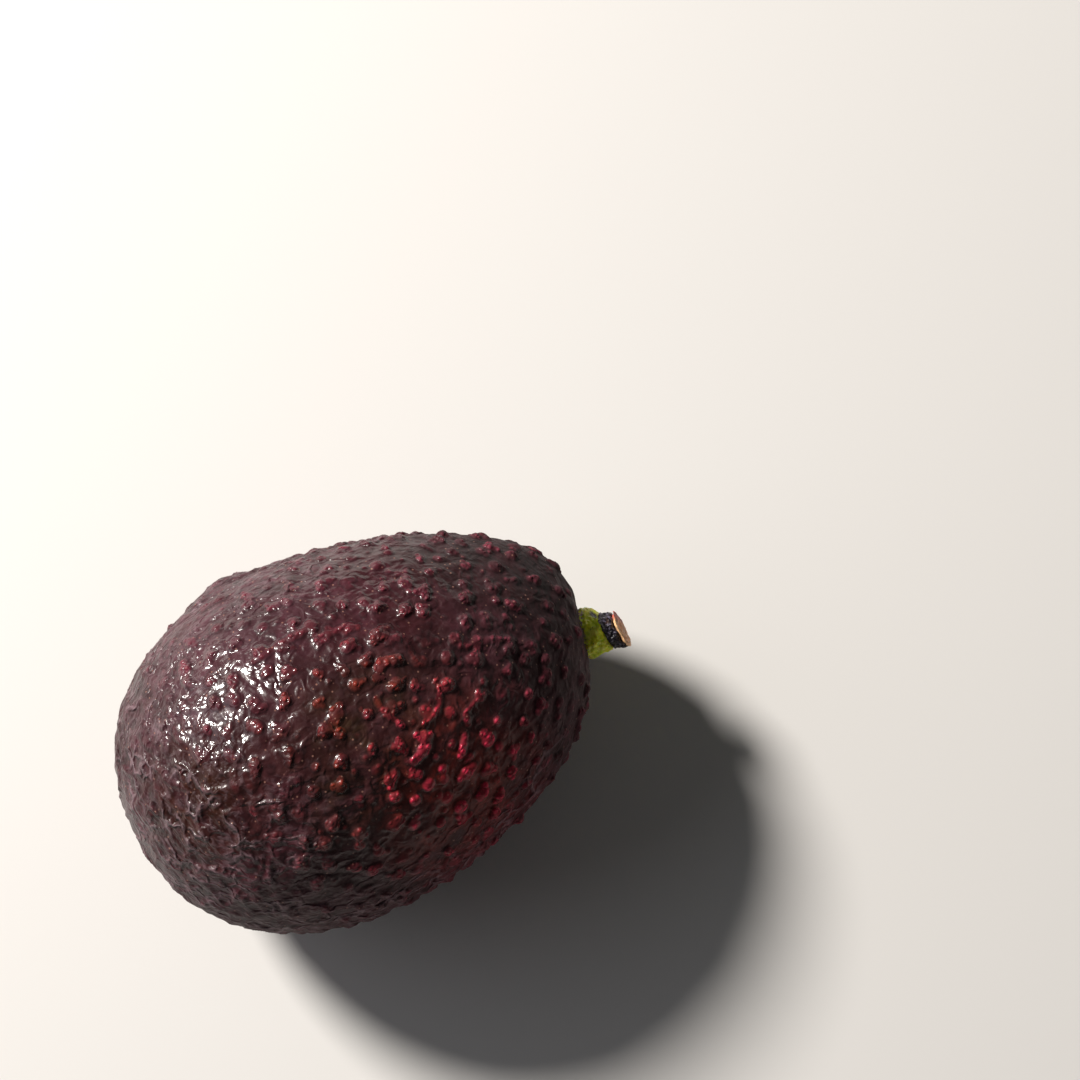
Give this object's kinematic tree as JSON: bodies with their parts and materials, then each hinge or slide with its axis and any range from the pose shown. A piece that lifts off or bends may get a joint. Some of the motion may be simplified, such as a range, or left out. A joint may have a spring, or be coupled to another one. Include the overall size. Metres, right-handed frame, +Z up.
{
  "type": "avocado",
  "caption": "Whole ripe avocado with dark pebbled skin and a short cut stem stub, lying on its side on a small flat spot.",
  "frame": {"origin": "middle of the small flat spot that the fruit rests on, under its centre of mass", "axes": "+Z up, +X along the fruit to its stem end, +Y to the side with the hump"},
  "size_m": [0.1013, 0.0709, 0.0672],
  "materials": {
    "skin": "waxy satin, dark purple-brown with redder pebbles",
    "green_button": "matt, yellow-green and knobbly",
    "dark_bark": "dry, nearly black and shrivelled",
    "cut_wood": "dry cut end, tan with cracked rings"
  },
  "bodies": {
    "root": {"fruit": "skin", "stem_button": "green_button", "stem_bark": "dark_bark", "stem_wood": "cut_wood"}
  },
  "joints": []
}
